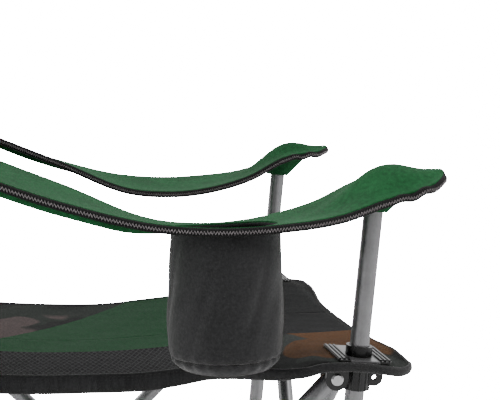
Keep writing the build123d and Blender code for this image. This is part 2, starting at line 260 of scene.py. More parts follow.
def running_stitch(name, path, lift, stitch=3.2 * MM, gap=1.1 * MM, thread=0.36 * MM):
    """Row of short raised stitches: small spindles laid end to end along a path."""
    line = evenly(path, stitch + gap)
    tangent, side, rise = frames_along(line, (0, 0, 1))
    t = np.linspace(-1, 1, 5)
    turn = np.linspace(0, 2 * math.pi, 5, endpoint=False)
    fat = thread * np.sqrt(np.clip(1.02 - t**2, 0, 1))
    ring = (tangent[:, None, None, :] * (t * stitch / 2)[None, :, None, None]
            + side[:, None, None, :] * (fat[None, :, None, None] * np.cos(turn)[None, None, :, None])
            + rise[:, None, None, :] * (fat[None, :, None, None] * np.sin(turn)[None, None, :, None]))
    points = line[:, None, None, :] + rise[:, None, None, :] * lift + ring
    count, rows, cols = points.shape[:3]
    index = np.arange(count * rows * cols).reshape(count, rows, cols)
    nxt = np.roll(index, -1, axis=2)
    quads = np.stack([index[:, :-1], nxt[:, :-1], nxt[:, 1:], index[:, 1:]], axis=-1).reshape(-1, 4)
    mesh = bpy.data.meshes.new(name)
    caps = np.concatenate([index[:, 0, ::-1], index[:, -1, :]])
    mesh.from_pydata(points.reshape(-1, 3).tolist(), [], quads.tolist() + caps.tolist())
    obj = bpy.data.objects.new(name, mesh)
    bpy.context.scene.collection.objects.link(obj)
    return obj


# ------------------------------------------------------------------ material nodes
class Finish:
    """A material with short ways to add and link nodes."""

    def __init__(self, name):
        self.material = bpy.data.materials.new(name)
        self.material.use_nodes = True
        self.tree = self.material.node_tree
        self.shader = self.tree.nodes["Principled BSDF"]
        self.coords = self.tree.nodes.new("ShaderNodeTexCoord")

    def node(self, kind, **inputs):
        made = self.tree.nodes.new(kind)
        for key, value in inputs.items():
            self.feed(made.inputs[key.replace("_", " ")], value)
        return made

    def feed(self, socket, value):
        if isinstance(value, bpy.types.NodeSocket):
            self.tree.links.new(value, socket)
        else:
            socket.default_value = value

    def math(self, operation, a, b=0.0):
        made = self.tree.nodes.new("ShaderNodeMath")
        made.operation = operation
        self.feed(made.inputs[0], a)
        self.feed(made.inputs[1], b)
        return made.outputs[0]

    def blend(self, amount, a, b):
        made = self.tree.nodes.new("ShaderNodeMix")
        made.data_type = "RGBA"
        self.feed(made.inputs["Factor"], amount)
        self.feed(made.inputs["A"], a)
        self.feed(made.inputs["B"], b)
        return made.outputs["Result"]

    def noise(self, vector, scale, detail=3.0, rough=0.6):
        made = self.node("ShaderNodeTexNoise", Vector=vector, Scale=scale, Detail=detail, Roughness=rough)
        return made.outputs["Fac"]

    def steps(self, value, low, high):
        made = self.node("ShaderNodeMapRange")
        made.interpolation_type = "SMOOTHSTEP"
        self.feed(made.inputs["Value"], value)
        self.feed(made.inputs["From Min"], low)
        self.feed(made.inputs["From Max"], high)
        return made.outputs["Result"]

    def bump(self, height, distance, strength=1.0):
        made = self.node("ShaderNodeBump", Height=height, Distance=distance, Strength=strength)
        self.tree.links.new(made.outputs["Normal"], self.shader.inputs["Normal"])

    def times(self, a, b):
        return self.math("MULTIPLY", a, b)

    def plus(self, a, b):
        return self.math("ADD", a, b)

    def minus(self, a, b):
        return self.math("SUBTRACT", a, b)

    def below(self, a, b):
        return self.math("LESS_THAN", a, b)

    def look(self, colour, rough, metal=0.0, sheen=0.0, coat=0.0, gloss=0.5):
        self.feed(self.shader.inputs["Base Color"], colour)
        self.feed(self.shader.inputs["Roughness"], rough)
        self.shader.inputs["Metallic"].default_value = metal
        self.shader.inputs["Sheen Weight"].default_value = sheen
        self.shader.inputs["Coat Weight"].default_value = coat
        self.shader.inputs["Specular IOR Level"].default_value = gloss
        return self.material


def shade(colour, factor):
    return tuple(min(1.0, channel * factor) for channel in colour) + (1.0,)


def weave(finish, pitch):
    """Plain weave on the piece's own UV: a sine along times a sine across, plus a little slub."""
    uv = finish.coords.outputs["UV"]
    split = finish.node("ShaderNodeSeparateXYZ", Vector=uv)
    along = finish.math("SINE", finish.times(split.outputs[0], 2 * math.pi / pitch))
    across = finish.math("SINE", finish.times(split.outputs[1], 2 * math.pi / pitch))
    cross = finish.times(along, across)
    slub = finish.noise(uv, 0.35 / pitch, 2.0)
    return finish.plus(finish.times(cross, 0.35), slub), uv


def cloth_finish(name, colour, pitch=0.9 * MM, contrast=0.45, rough=0.8, sheen=0.03):
    """Coated oxford cloth: woven bump, faded patches and a soft sheen."""
    finish = Finish(name)
    threads, uv = weave(finish, pitch)
    patches = finish.noise(uv, 22.0, 4.0)
    fine = finish.times(threads, 0.6)
    faded = finish.times(patches, 0.5)
    level = finish.steps(finish.plus(fine, faded), 0.15, 0.95)
    mixed = finish.blend(level, shade(colour, 1 - contrast), shade(colour, 1 + contrast))
    finish.bump(threads, 0.25 * MM, 0.6)
    return finish.look(mixed, rough, sheen=sheen, gloss=0.12)


def camo_colour(finish, uv, dark, brown, grey, cut):
    """Camouflage: two noise fields cut at a level, brown over grey-green over the dark ground."""
    first = finish.noise(uv, 13.0, 2.0, 0.4)
    shifted = finish.node("ShaderNodeMapping", Vector=uv)
    shifted.inputs["Location"].default_value = (3.1, 1.7, 0.0)
    second = finish.noise(shifted.outputs["Vector"], 10.0, 2.0, 0.4)
    under = finish.blend(finish.steps(first, 0.50, 0.53), dark, grey)
    return finish.blend(finish.steps(second, cut, cut + 0.025), under, brown)


CAMO_GROUND = (0.006, 0.007, 0.006, 1)
CAMO_BROWN, CAMO_GREY = (0.105, 0.040, 0.006, 1), (0.026, 0.031, 0.027, 1)
CAMO_PINK, CAMO_GREEN = (0.085, 0.060, 0.058, 1), (0.012, 0.018, 0.013, 1)
# the colour in the spacer mesh's holes is painted shade
MESH_HOLE_SHADE, MESH_THREAD = (0.0005, 0.0005, 0.0005, 1), (0.036, 0.036, 0.038, 1)
FRONT_PATCH = 0.150           # the camouflaged front reaches this far back
EDGE_STRIP = 0.062            # plain strip along the right hem of the front patch
MESH_BAND = 0.105             # mesh along the right hem behind the front patch
WEDGE_SLOPE, WEDGE_REACH = -1.18, 0.574


def seat_finish(name, black, green):
    """Seat cloth in patches, laid out on its UV: metres across from the right hem, metres back."""
    finish = Finish(name)
    threads, uv = weave(finish, 1.0 * MM)
    split = finish.node("ShaderNodeSeparateXYZ", Vector=uv)
    across, back = split.outputs[0], split.outputs[1]
    camo = camo_colour(finish, uv, CAMO_GROUND, CAMO_BROWN, CAMO_GREY, 0.485)
    pink = camo_colour(finish, uv, CAMO_GROUND, CAMO_PINK, CAMO_GREEN, 0.575)
    plain = shade(black, 0.8)
    # spacer mesh: a diamond lattice of holes, painted near-black as painted shade down in them
    wide = finish.times(across, 2 * math.pi / (15 * MM))
    narrow = finish.times(back, 2 * math.pi / (5.2 * MM))
    lean_a = finish.math("SINE", finish.plus(wide, narrow))
    lean_b = finish.math("SINE", finish.minus(wide, narrow))
    lattice = finish.math("MAXIMUM", lean_a, lean_b)
    holes = finish.steps(lattice, 0.55, 0.85)
    mesh_colour = finish.blend(holes, MESH_HOLE_SHADE, MESH_THREAD)
    in_front = finish.below(back, FRONT_PATCH)
    edge_strip = finish.below(across, EDGE_STRIP)
    side_band = finish.below(across, MESH_BAND)
    slanted = finish.minus(across, finish.times(back, WEDGE_SLOPE))
    wedge = finish.below(slanted, WEDGE_REACH)
    rear = finish.blend(wedge, pink, shade(green, 0.6))
    rear = finish.blend(side_band, rear, mesh_colour)
    front = finish.blend(edge_strip, plain, camo)
    colour = finish.blend(in_front, rear, front)
    is_mesh = finish.times(side_band, finish.minus(1.0, in_front))
    tone = finish.blend(finish.steps(threads, 0.2, 0.9), (0.62, 0.62, 0.62, 1), (1.25, 1.25, 1.25, 1))
    product = finish.tree.nodes.new("ShaderNodeMix")
    product.data_type = "RGBA"
    product.blend_type = "MULTIPLY"
    product.inputs["Factor"].default_value = 1.0
    finish.feed(product.inputs["A"], colour)
    finish.feed(product.inputs["B"], tone)
    lattice_height = finish.times(holes, finish.times(is_mesh, 2.5))
    height = finish.plus(finish.times(threads, 0.3), lattice_height)
    finish.bump(height, 0.5 * MM, 0.7)
    return finish.look(product.outputs["Result"], 0.8, sheen=0.03, gloss=0.12)


def tape_finish(name):
    """Ribbed edge tape: fine ribs along the UV's length."""
    finish = Finish(name)
    uv = finish.coords.outputs["UV"]
    split = finish.node("ShaderNodeSeparateXYZ", Vector=uv)
    rib = finish.math("SINE", finish.times(split.outputs[0], 2 * math.pi / (1.6 * MM)))
    worn = finish.noise(uv, 180.0, 3.0)
    colour = finish.blend(worn, (0.004, 0.004, 0.004, 1), (0.014, 0.013, 0.014, 1))
    finish.bump(rib, 0.35 * MM, 0.8)
    return finish.look(colour, 0.75, sheen=0.04, gloss=0.2)


def thread_finish(name, colour):
    """Sewing thread: a fine fuzz of lighter and darker fibres."""
    finish = Finish(name)
    fuzz = finish.noise(finish.coords.outputs["Object"], 900.0, 2.0)
    mixed = finish.blend(fuzz, shade(colour, 0.55), shade(colour, 1.2))
    finish.bump(fuzz, 0.1 * MM, 0.5)
    return finish.look(mixed, 0.75, sheen=0.05, gloss=0.2)


def coat_finish(name, colour):
    """Powder-coated tube: satin, with orange peel and a few darker rubs."""
    finish = Finish(name)
    place = finish.coords.outputs["Object"]
    peel = finish.noise(place, 900.0, 2.0)
    rubs = finish.noise(place, 35.0, 5.0, 0.7)
    mixed = finish.blend(finish.steps(rubs, 0.35, 0.75), shade(colour, 0.86), shade(colour, 1.1))
    finish.bump(peel, 0.05 * MM, 0.05)
    return finish.look(mixed, finish.steps(rubs, -2.2, 4.6), metal=0.8, coat=0.15)


def moulded_finish(name, low, high, rough):
    """Moulded plastic: faint flow marks and a fine grain."""
    finish = Finish(name)
    place = finish.coords.outputs["Object"]
    flow = finish.noise(place, 60.0, 4.0)
    grain = finish.noise(place, 1400.0, 2.0)
    finish.bump(grain, 0.04 * MM, 0.4)
    return finish.look(finish.blend(flow, low, high), rough, coat=0.3)


def plate_finish(name):
    """Corner plate of black plastic: rib tops painted light grey as a painted highlight, a dimmer painted
    reflection between them, black in the slots, and a black collar round the post.

    The height over the plate's own plane follows the lean of the post, the same at all four corners.
    """
    finish = Finish(name)
    place = finish.node("ShaderNodeSeparateXYZ", Vector=finish.coords.outputs["Object"])
    x = finish.minus(finish.math("ABSOLUTE", place.outputs[0]), POST_X)
    y = finish.minus(place.outputs[1], (PLATE_FRONT[1] + PLATE_BACK[1]) / 2)
    y = finish.minus(finish.math("ABSOLUTE", y), (PLATE_BACK[1] - PLATE_FRONT[1]) / 2)
    up = finish.plus(finish.times(place.outputs[2], math.cos(LEAN)), finish.times(y, math.sin(LEAN)))
    above = finish.minus(up, plate_top())
    squares = finish.plus(finish.times(x, x), finish.times(y, y))
    away = finish.math("SQRT", squares)
    outside = finish.math("GREATER_THAN", away, TUBE_R + 5.2 * MM)
    # rib tops: a painted highlight, light grey on the black plastic
    rib_highlight = finish.math("GREATER_THAN", above, -0.5 * MM)
    slots = finish.math("GREATER_THAN", finish.math("ABSOLUTE", y), 12.5 * MM)
    # between the ribs a dimmer painted reflection, black in the slots
    dull = finish.blend(slots, (0.16, 0.16, 0.165, 1), (0.006, 0.006, 0.006, 1))
    flat = finish.blend(rib_highlight, dull, (0.55, 0.55, 0.56, 1))
    grain = finish.noise(finish.coords.outputs["Object"], 1400.0, 2.0)
    finish.bump(grain, 0.04 * MM, 0.4)
    return finish.look(finish.blend(outside, (0.008, 0.008, 0.008, 1), flat), 0.3, metal=0.35, coat=0.3)


def plate_top():
    """Height of the ribs' tops along the post's direction, measured on a corner plate's mesh."""
    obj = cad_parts["corner_plate_front_left"]
    points = np.array([obj.matrix_world @ vertex.co for vertex in obj.data.vertices])
    y = np.abs(points[:, 1] - (PLATE_FRONT[1] + PLATE_BACK[1]) / 2) - (PLATE_BACK[1] - PLATE_FRONT[1]) / 2
    return float((points[:, 2] * math.cos(LEAN) + y * math.sin(LEAN)).max()) - 4.0 * MM


def plated_finish(name):
    """Nickel-plated rivet: bright, with fine turning marks and dull specks."""
    finish = Finish(name)
    place = finish.coords.outputs["Object"]
    specks = finish.noise(place, 500.0, 4.0)
    mixed = finish.blend(specks, (0.55, 0.55, 0.56, 1), (0.85, 0.85, 0.86, 1))
    finish.bump(specks, 0.05 * MM, 0.3)
    return finish.look(mixed, finish.steps(specks, -0.5, 3.5), metal=1.0)


FINISHES = {}


def finish_of(key):
    """Each finish is made once, when it is first asked for."""
    if key not in FINISHES:
        chosen = settings()
        makers = {
            "green": lambda: cloth_finish(
                "green_oxford", tuple(chosen.green), pitch=1.5 * MM, contrast=0.6),
            "black": lambda: cloth_finish("black_oxford", tuple(chosen.black)),
            "cup": lambda: cloth_finish(
                "cup_oxford", tuple(chosen.cup), contrast=0.6, rough=0.5, sheen=0.30),
            "seat": lambda: seat_finish("seat_patchwork", tuple(chosen.black), tuple(chosen.green)),
            "tape": lambda: tape_finish("edge_tape"),
            "thread": lambda: thread_finish("pale_thread", (0.46, 0.42, 0.43)),
            "dark_thread": lambda: thread_finish("dark_thread", (0.05, 0.05, 0.05)),
            "green_thread": lambda: thread_finish("green_thread", (0.10, 0.34, 0.15)),
            "coat": lambda: coat_finish("grey_coat", tuple(chosen.coat)),
            "moulding": lambda: moulded_finish(
                "black_moulding", (0.006, 0.006, 0.006, 1), (0.016, 0.016, 0.017, 1), 0.28),
            "plate": lambda: plate_finish("plate_moulding"),
            "plated": lambda: plated_finish("nickel"),
        }
        FINISHES[key] = makers[key]()
    return FINISHES[key]


def dress(obj, key):
    """Gives a new piece its finish and its colour slot."""
    obj.data.materials.clear()
    obj.data.materials.append(finish_of(key))
    return obj


# ------------------------------------------------------------------ frame finishes
NODE_FINISH = {
    "post_cap": "moulding", "hub": "moulding", "foot": "moulding", "corner_plate": "plate",
    "post": "coat", "side_tube": "coat", "front_tube": "coat", "back_tube": "coat",
    "hub_rivets": "plated", "foot_rivets": "plated",
    "side_rivet": "plated", "front_rivet": "plated", "back_rivet": "plated",
}


def finish_frame():
    """Gives every hard node its finish; the longest matching name wins."""
    for name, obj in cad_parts.items():
        keys = [key for key in NODE_FINISH if name.startswith(key)]
        if keys:
            finish = finish_of(NODE_FINISH[max(keys, key=len)])
            for place in obj.material_slots:
                place.material = finish


# ------------------------------------------------------------------ armrests
ARM_BACK_FROM_TIP = ARM_HIGH[1] - ARM_LOW[1]
TIP_TO_POST = CAP_FRONT[1] - ARM_LOW[1]
ARM_NOSE = 34 * MM            # length of the round nose
HOLE_RADIUS = 43 * MM         # hole for the cup
TAPE_DROP = 1.6 * MM          # the tape's middle lies this far under the cloth's top face


def arm_half_width(back):
    """Half width of an armrest, 'back' metres behind its tip: a round nose that widens to the cup."""
    t = np.clip(back / ARM_NOSE, 0, 1)
    body = through(back, [0, 0.05, 0.12, 0.20, 0.32, 0.44, ARM_BACK_FROM_TIP],
                   [0.036, 0.041, 0.050, 0.0525, 0.0515, 0.045, 0.040])
    return body * np.sqrt(np.clip(1 - (1 - t) ** 2, 0.02, 1))


def arm_height(back, v):
    """Height of the top face; v runs from -1 at the outer edge to 1 at the inner edge.

    Each edge is a smooth curve of its own, and the face between them is crowned where the post lifts it.
    """
    low = ARM_LOW[2]
    end = ARM_HIGH[2]
    post = TIP_TO_POST
    stations = [0, 0.02, 0.040, post, post + 0.045, post + 0.09, post + 0.135, post + 0.18, post + 0.26,
                ARM_BACK_FROM_TIP]
    outer = low + np.array([51, 43, 37, 33.5, 21.5, 16.5, 15, 18, 37, (end - low) / MM - 2]) * MM
    inner = low + np.array([52, 48, 46, 43, 23, 11, 6.5, 10, 42, (end - low) / MM]) * MM
    z_out = through(back, stations, outer)
    z_in = through(back, stations, inner)
    t = (v + 1) / 2
    face = z_out * (1 - t) + z_in * t
    tent = np.exp(-((back - post + 0.009) / 0.036) ** 2) * np.exp(-(v / 0.62) ** 2)
    folds = np.exp(-((back - post) / 0.05) ** 2) * np.sin(7 * v + 40 * (back - post)) * 1.1 * MM
    hollow = 2.2 * MM * (1 - v**2) * ease((back - post) / 0.09) * (1 - ease((back - 0.42) / 0.08))
    uneven = ripple(back / 0.05, v * 1.6, 3) * 0.8 * MM * (1 - 0.4 * np.abs(v))
    return face + 17.5 * MM * tent + folds * (1 - v**2) - hollow + uneven


def arm_point(side, back, v):
    """Point of the armrest's top face; v = -1 is the outer edge."""
    x = side * (POST_X - v * arm_half_width(back))
    y = ARM_LOW[1] + back + 0 * v
    return together(x, y, arm_height(back, v))


def arm_edge(side):
    """The armrest's border: back along the outer edge, round the nose, and out along the inner edge."""
    run = np.linspace(ARM_BACK_FROM_TIP, 0, 160)
    outer = arm_point(side, run, -1.0)
    nose = arm_point(side, np.zeros(9), np.linspace(-1, 1, 9))[1:-1]
    inner = arm_point(side, run[::-1], 1.0)
    line = evenly(np.concatenate([outer, nose, inner]), 2.2 * MM)
    back = line[:, 1] - ARM_LOW[1]
    line[:, 2] += 1.3 * MM * np.sin(back / (3.4 * MM)) * np.exp(-((back - 0.032) / 0.020) ** 2)
    return line


def make_armrest(name):
    """Armrest cloth with its bound edge, seams, pocket and, on the right, the cup's hole."""
    side = SIDES[name]
    body = f"front_{name}_leg"
    back = np.concatenate([np.linspace(0, ARM_NOSE, 14)[:-1], np.linspace(ARM_NOSE, ARM_BACK_FROM_TIP, 150)])
    v = np.linspace(-1, 1, 41)
    grid_back, grid_v = np.meshgrid(back, v, indexing="ij")
    points = arm_point(side, grid_back, grid_v)
    uv = np.stack([grid_back, grid_v * arm_half_width(grid_back)], axis=-1)
    cloth = grid_mesh(f"arm_cloth_{name}", points, uv)
    thicken(cloth, 2.2 * MM, -1.0 if side > 0 else 1.0)
    if name == "right":
        bore(cloth, (CUP_MID[0], CUP_MID[1], ARM_LOW[2]), (0, 0, 1), HOLE_RADIUS, 0.2)
    dress(cloth, "green")
    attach(cloth, body)
    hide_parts(f"armrest_{name}")

    edge = arm_edge(side)
    taped = edge - [0, 0, TAPE_DROP]
    tape = carried(f"arm_tape_{name}", taped, oval(6.6 * MM, 6.8 * MM, 14))
    dress(tape, "tape")
    outward = overlock_side(f"arm_overlock_side_{name}", taped, side, 3.35 * MM, 2.8 * MM, 2.5 * MM)
    dress(outward, "thread")
    pieces = [tape, outward, folded_edge(name)]
    run = np.linspace(0.03, ARM_BACK_FROM_TIP - 0.01, 140)
    for label, v_line in (("outer", -0.62), ("inner", 0.80)):
        line = arm_point(side, run, v_line)
        row = running_stitch(f"arm_stitch_{label}_{name}", line, 0.25 * MM, thread=0.45 * MM)
        dress(row, "green_thread")
        pieces.append(row)
    pocket = make_pocket(name)
    pieces.append(pocket)
    if name == "right":
        pieces.append(hole_ring())
    for piece in pieces:
        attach(piece, body)
    for piece in [cloth] + pieces:
        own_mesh(piece)


def folded_edge(name):
    """Strip of the armrest's cloth that is folded under its outer edge, behind the cup."""
    run = np.linspace(0.235, ARM_BACK_FROM_TIP, 90)
    line = arm_point(SIDES[name], run, -0.985)
    line[:, 2] -= 5.6 * MM * ease((run - 0.225) / 0.05)
    strip = carried(f"arm_fold_{name}", line, oval(3.4 * MM, 7.0 * MM, 12))
    return dress(strip, "green")


def overlock_side(name, path, side, out, width, pitch):
    """Zigzag on the tape's outward face: up and down by half its width, four points to a pitch."""
    line = evenly(path, pitch / 4)
    swing = np.array([0.0, 1.0, 0.0, -1.0])[np.arange(len(line)) % 4]
    middle_line = np.array([side * POST_X, 0, 0])
    tangent, _, _ = frames_along(line, (0, 0, 1))
    outward = unit(np.cross(tangent, [0, 0, 1]))
    away = np.sign(((line - middle_line) * outward * [1, 0, 0]).sum(axis=1))
    away[away == 0] = 1
    flip = np.median(away[: len(away) // 3])
    zig = line + outward * (flip * out) + np.array([0, 0, 1.0]) * (swing * width / 2)[:, None]
    return carried(name, zig, oval(0.46 * MM, 0.46 * MM, 5), up=(0, 0.02, 1))


def make_pocket(name):
    """Pocket under the armrest's front: a short cloth tube, gathered round the post's top."""
    side = SIDES[name]
    top = CAP_FRONT * [side, 1, 1]
    axis = np.array([0, -math.sin(LEAN), math.cos(LEAN)])
    t = np.linspace(0, 1, 16)[:, None, None]
    turn = np.linspace(0, 2 * math.pi, 48, endpoint=False)
    fore = np.array([0, math.cos(LEAN), math.sin(LEAN)])
    around = np.cos(turn)[:, None] * np.array([1.0, 0, 0]) + np.sin(turn)[:, None] * fore
    hem = top - axis * 19 * MM + around * (11.0 + 0.5 * np.sin(5 * turn + 1.0))[:, None] * MM
    x = top[0] + 24 * MM * np.cos(turn)
    y = top[1] + np.where(np.sin(turn) < 0, 40, 30) * MM * np.sin(turn)
    v = -side * (x - side * POST_X) / arm_half_width(y - ARM_LOW[1])
    seam = np.stack([x, y, arm_height(y - ARM_LOW[1], v) - 2.6 * MM], axis=1)
    fold = around * (np.sin(6 * turn + 0.8) * 0.9 * MM)[:, None] * np.sin(math.pi * t)
    points = hem * (1 - t) + seam * t + fold
    uv = together(turn * 0.016, t[..., 0] * 0.03)
    pocket = grid_mesh(f"arm_pocket_{name}", points, uv, wrap=True)
    thicken(pocket, 1.4 * MM, 0.0)
    return dress(pocket, "green")


def hole_ring():
    """Bound edge of the armrest's round hole."""
    turn = np.linspace(0, 2 * math.pi, 120)
    radius = HOLE_RADIUS - 0.4 * MM
    x, y = CUP_MID[0] + radius * np.cos(turn), CUP_MID[1] + radius * np.sin(turn)
    back = y - ARM_LOW[1]
    v = (x + POST_X) / arm_half_width(back)
    z = arm_height(back, np.clip(v, -1, 1)) - 1.0 * MM
    ring = carried("cup_hole_tape", np.stack([x, y, z], axis=1), oval(3.4 * MM, 4.4 * MM, 10))
    return dress(ring, "tape")


# ------------------------------------------------------------------ cup holder
CUP_BELOW_ARM = 103 * MM      # bottom seam under the armrest's lowest point
RIM_ABOVE_ARM = 6 * MM        # flat length of the wall above that point
RIM_DROP = 2.4 * MM           # the rim lies this far under the armrest's top face
CUP_RADIUS = 0.046
FLOOR_REACH = 0.045           # flat length from the bottom seam to the floor's middle


def make_cup():
    """Cup: radius is a smooth curve of height, with hanging folds and a puckered bottom seam."""
    bottom_z = max(CUP_LOW[2], ARM_LOW[2] - CUP_BELOW_ARM)
    tall = ARM_LOW[2] + RIM_ABOVE_ARM - bottom_z
    t = np.concatenate([np.linspace(0, 0.90, 60), np.linspace(0.91, 1.0, 20)])
    turn = np.linspace(0, 2 * math.pi, 180, endpoint=False)
    grid_t, grid_turn = np.meshgrid(t, turn, indexing="ij")
    base = through(grid_t, [0, 0.12, 0.45, 0.8, 0.90, 0.96, 1.0],
                   [43.6, 44.6, 46.4, 46.4, 45.2, 42.4, 37.5]) * MM
    folds = ripple(grid_turn * 2.0 + 1.5 * grid_t, grid_t * 2.2, 11, 4) * 2.0 * MM
    folds += np.sin(9 * grid_turn + 3 * grid_t) * 0.5 * MM * grid_t
    crease = np.sin(23 * grid_turn + 1.3) * 0.55 * MM * np.exp(-((grid_t - 0.93) / 0.06) ** 2)
    sharp = np.abs(np.sin(3.5 * grid_turn + 2.4 * grid_t + 0.6)) ** 12
    crease += -1.1 * MM * sharp * np.sin(math.pi * grid_t)
    dent = -1.4 * MM * np.exp(-((grid_t - 0.915) / 0.012) ** 2)
    radius = base + folds * np.sin(math.pi * np.clip(grid_t, 0, 1)) ** 0.5 + crease + dent
    rim_x = POST_X + CUP_MID[0] + base[0, 0] * np.cos(turn)
    rim_back = CUP_MID[1] + base[0, 0] * np.sin(turn) - ARM_LOW[1]
    rim_z = arm_height(rim_back, rim_x / arm_half_width(rim_back)) - RIM_DROP
    z = rim_z[None, :] - grid_t * (rim_z[None, :] - bottom_z)
    x, y = CUP_MID[0] + radius * np.cos(grid_turn), CUP_MID[1] + radius * np.sin(grid_turn)
    wall = np.stack([x, y, z], axis=-1)
    rings = np.linspace(1, 0.02, 12)[1:]
    floor_z = bottom_z - 1.2 * MM * (1 - rings**2)
    floor = np.stack([
        CUP_MID[0] + (wall[-1, :, 0] - CUP_MID[0])[None, :] * rings[:, None],
        CUP_MID[1] + (wall[-1, :, 1] - CUP_MID[1])[None, :] * rings[:, None],
        np.broadcast_to(floor_z[:, None], (len(rings), len(turn)))], axis=-1)
    points = np.concatenate([wall, floor])
    rows = np.concatenate([grid_t[:, 0] * tall, tall + (1 - rings) * FLOOR_REACH])
    uv = together(turn[None, :] * CUP_RADIUS, rows[:, None])
    cup = grid_mesh("cup_cloth", points, uv, wrap=True)
    close_rings(cup, [last_ring(len(points), len(turn))], smooth=True)
    thicken(cup, 1.5 * MM, 1.0)
    dress(cup, "cup")
    pieces = []
    for label, height in (("hem", 0.05), ("hem_low", 0.075), ("foot", 0.935)):
        row = int(np.argmin(np.abs(t - height)))
        loop = np.concatenate([wall[row], wall[row][:1]])
        outward = loop - [CUP_MID[0], CUP_MID[1], 0]
        outward[:, 2] = 0
        line = loop + unit(outward) * 1.2 * MM
        stitch = running_stitch(f"cup_stitch_{label}", line, 0.0, 2.6 * MM, 0.9 * MM, 0.3 * MM)
        pieces.append(dress(stitch, "dark_thread"))
    for piece in [cup] + pieces:
        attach(piece, "front_right_leg")
        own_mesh(piece)
    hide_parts("cup_holder")


# ------------------------------------------------------------------ seat
SEAT_FRONT, SEAT_BACK = PLATE_FRONT[1], PLATE_BACK[1]
SEAT_MID_Y = (SEAT_FRONT + SEAT_BACK) / 2
SEAT_HALF_Y = (SEAT_BACK - SEAT_FRONT) / 2
TONGUE = 45 * MM
SEAT_WAIST = 158 * MM
CLOTH_AT_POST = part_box("hub_front_left")[1][2]


def seat_half_width(t):
    """Half width at t (-1 front, 1 back): wide round tongues at the corners, waisted between them."""
    corner = POST_X + 25 * MM
    reach = SEAT_WAIST + (corner - SEAT_WAIST) * ease((np.abs(t) - 0.34) / 0.32)
    rounding = np.clip((np.abs(t) - 0.86) / 0.14, 0, 1)
    return reach - 26 * MM * (1 - np.sqrt(1 - rounding**2 * 0.98))


def seat_point(side, s, t):
    """Point of the seat: s runs 0 to 1 from the middle line to the hem, t from -1 in front to 1 behind.

    The cloth hangs in a curve between its hems, and lies on the hub, tilted as its post, near each corner.
    """
    width = seat_half_width(t)
    x = side * s * width
    depth = SEAT_HALF_Y + TONGUE
    inset = 14 * MM * (1 - ease((s * width - 0.03) / 0.15)) * ease((np.abs(t) - 0.5) / 0.5)
    y = SEAT_MID_Y + t * depth - np.sign(t) * inset
    chosen = settings()
    top = CLOTH_AT_POST
    reach_y = np.abs(t)
    hem = top - 0.8 * MM - chosen.side_dip * (1 - np.clip(reach_y / 0.68, 0, 1) ** 2)
    across = np.clip(np.abs(x) / SEAT_WAIST, 0, 1)
    sag = hem - chosen.seat_sag * (1 - across**2) * (1 - 0.35 * reach_y**4)
    sag = sag + ripple(x / 0.03, y / 0.04, 21) * 1.2 * MM
    dx, dy = np.abs(x) - POST_X, np.abs(y - SEAT_MID_Y) - SEAT_HALF_Y
    near = np.exp(-((np.hypot(dx, dy) / 0.042) ** 4))
    tilt = -dy * math.tan(LEAN)
    z = sag * (1 - near) + (top - 0.9 * MM + tilt) * near
    beyond = np.hypot(np.clip(dx, 0, 1), np.clip(dy, 0, 1))
    droop = -6 * MM * ease((beyond - 0.020) / 0.02)
    return together(x, y, z + droop * (np.maximum(dx, dy) > 0))


def deepen(hem, border):
    """Lets the hem hang deeper towards the back, where the seat's side edge is turned down."""
    count = len(hem.data.vertices)
    places = np.empty(count * 3)
    hem.data.vertices.foreach_get("co", places)
    places = places.reshape(-1, 3)
    from_front = ease((places[:, 1] - SEAT_FRONT - 0.02) / 0.16)
    extra = 9 * MM * from_front * ease((SEAT_BACK - places[:, 1]) / 0.08)
    nearest = np.array([border[np.argmin(((border - place) ** 2).sum(axis=1)), 2] for place in places])
    low = places[:, 2] < nearest - 2.2 * MM
    places[:, 2] -= extra * low
    hem.data.vertices.foreach_set("co", places.ravel())


def make_seat(name):
    """One half of the seat: patched cloth with holes at its posts, a hem and two rows of stitches."""
    side = SIDES[name]
    body = f"seat_{name}"
    s, t = np.linspace(0, 1, 70), np.sin(np.linspace(-math.pi / 2, math.pi / 2, 150))
    grid_t, grid_s = np.meshgrid(t, s, indexing="ij")
    points = seat_point(side, grid_s, grid_t)
    uv = np.stack([points[..., 0] + SEAT_WAIST, points[..., 1] - SEAT_FRONT + TONGUE], axis=-1)
    cloth = grid_mesh(f"seat_cloth_{name}", points, uv)
    thicken(cloth, settings().cloth, 0.0)
    for y, lean in ((SEAT_FRONT, LEAN), (SEAT_BACK, -LEAN)):
        axis = (0, -math.sin(lean), math.cos(lean))
        bore(cloth, (side * POST_X, y, CLOTH_AT_POST), axis, TUBE_R + 1.2 * MM, 0.06)
    dress(cloth, "seat")
    border = np.concatenate([
        seat_point(side, np.linspace(0, 1, 60), np.full(60, -1.0)),
        seat_point(side, np.full(180, 1.0), np.sin(np.linspace(-math.pi / 2, math.pi / 2, 180)))[1:-1],
        seat_point(side, np.linspace(1, 0, 60), np.full(60, 1.0))])
    border = evenly(border, 3 * MM)
    hem = carried(f"seat_hem_{name}", border - [0, 0, 2.2 * MM], oval(4.0 * MM, 8.0 * MM, 12))
    deepen(hem, border)
    dress(hem, "cup")
    rows = []
    for label, drop in (("upper", 0.6), ("lower", 3.6)):
        line = border.copy()
        away = np.sign(border - [0, SEAT_MID_Y, 0])
        line[:, 0] += away[:, 0] * 1.9 * MM
        line[:, 2] -= drop * MM
        row = running_stitch(f"seat_stitch_{label}_{name}", line, 0.0, 2.8 * MM, 1.0 * MM, 0.3 * MM)
        rows.append(dress(row, "dark_thread"))
    for piece in [cloth, hem] + rows:
        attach(piece, body)
    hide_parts(f"seat_half_{name}")
    for piece in [cloth, hem] + rows:
        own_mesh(piece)


# ------------------------------------------------------------------ backrest
SLEEVE_LONG = 0.225


